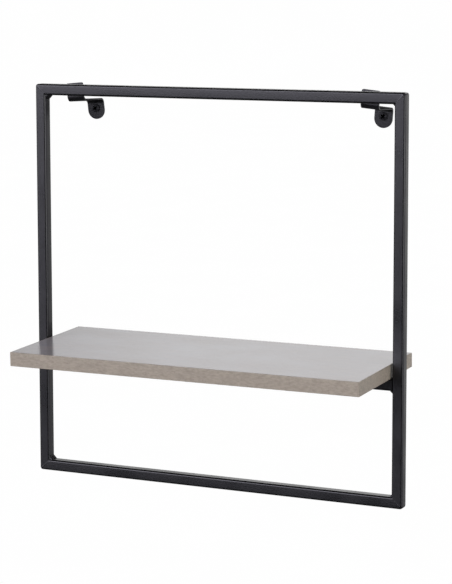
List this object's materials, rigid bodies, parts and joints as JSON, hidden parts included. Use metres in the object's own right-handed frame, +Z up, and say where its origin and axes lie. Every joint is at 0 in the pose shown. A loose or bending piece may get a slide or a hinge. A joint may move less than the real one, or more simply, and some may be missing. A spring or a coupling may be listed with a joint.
{
  "type": "wall shelf",
  "caption": "Wall shelf: a laminated board carried through an open square frame of welded tube, which stands off the wall on bent strip hooks with screws.",
  "frame": {"origin": "on the wall plane, halfway between the axes of the wall screws", "axes": "+Y into the wall, so the front faces -Y; +X to the right as seen from the front; +Z up"},
  "size_m": [0.45, 0.176, 0.452],
  "materials": {
    "powder_coat": "fine-textured black powder coat",
    "laminate": "satin concrete-look laminate",
    "edge_band": "matt greige edge band with fine streaks",
    "chipboard": "raw chipboard",
    "black_screw": "black-finished steel"
  },
  "bodies": {
    "root": {"left_upright": "powder_coat", "right_upright": "powder_coat", "top_rail": "powder_coat", "bottom_rail": "powder_coat", "cross_rail": "powder_coat", "corner_welds": "powder_coat", "cross_rail_welds": "powder_coat", "left_hook": "powder_coat", "right_hook": "powder_coat", "hook_welds": "powder_coat", "board_core": "chipboard", "top_laminate": "laminate", "bottom_laminate": "laminate", "front_edge_band": "edge_band", "back_edge_band": "edge_band", "left_edge_band": "edge_band", "right_edge_band": "edge_band", "wall_screws": "black_screw", "board_screws": "black_screw"}
  },
  "joints": []
}
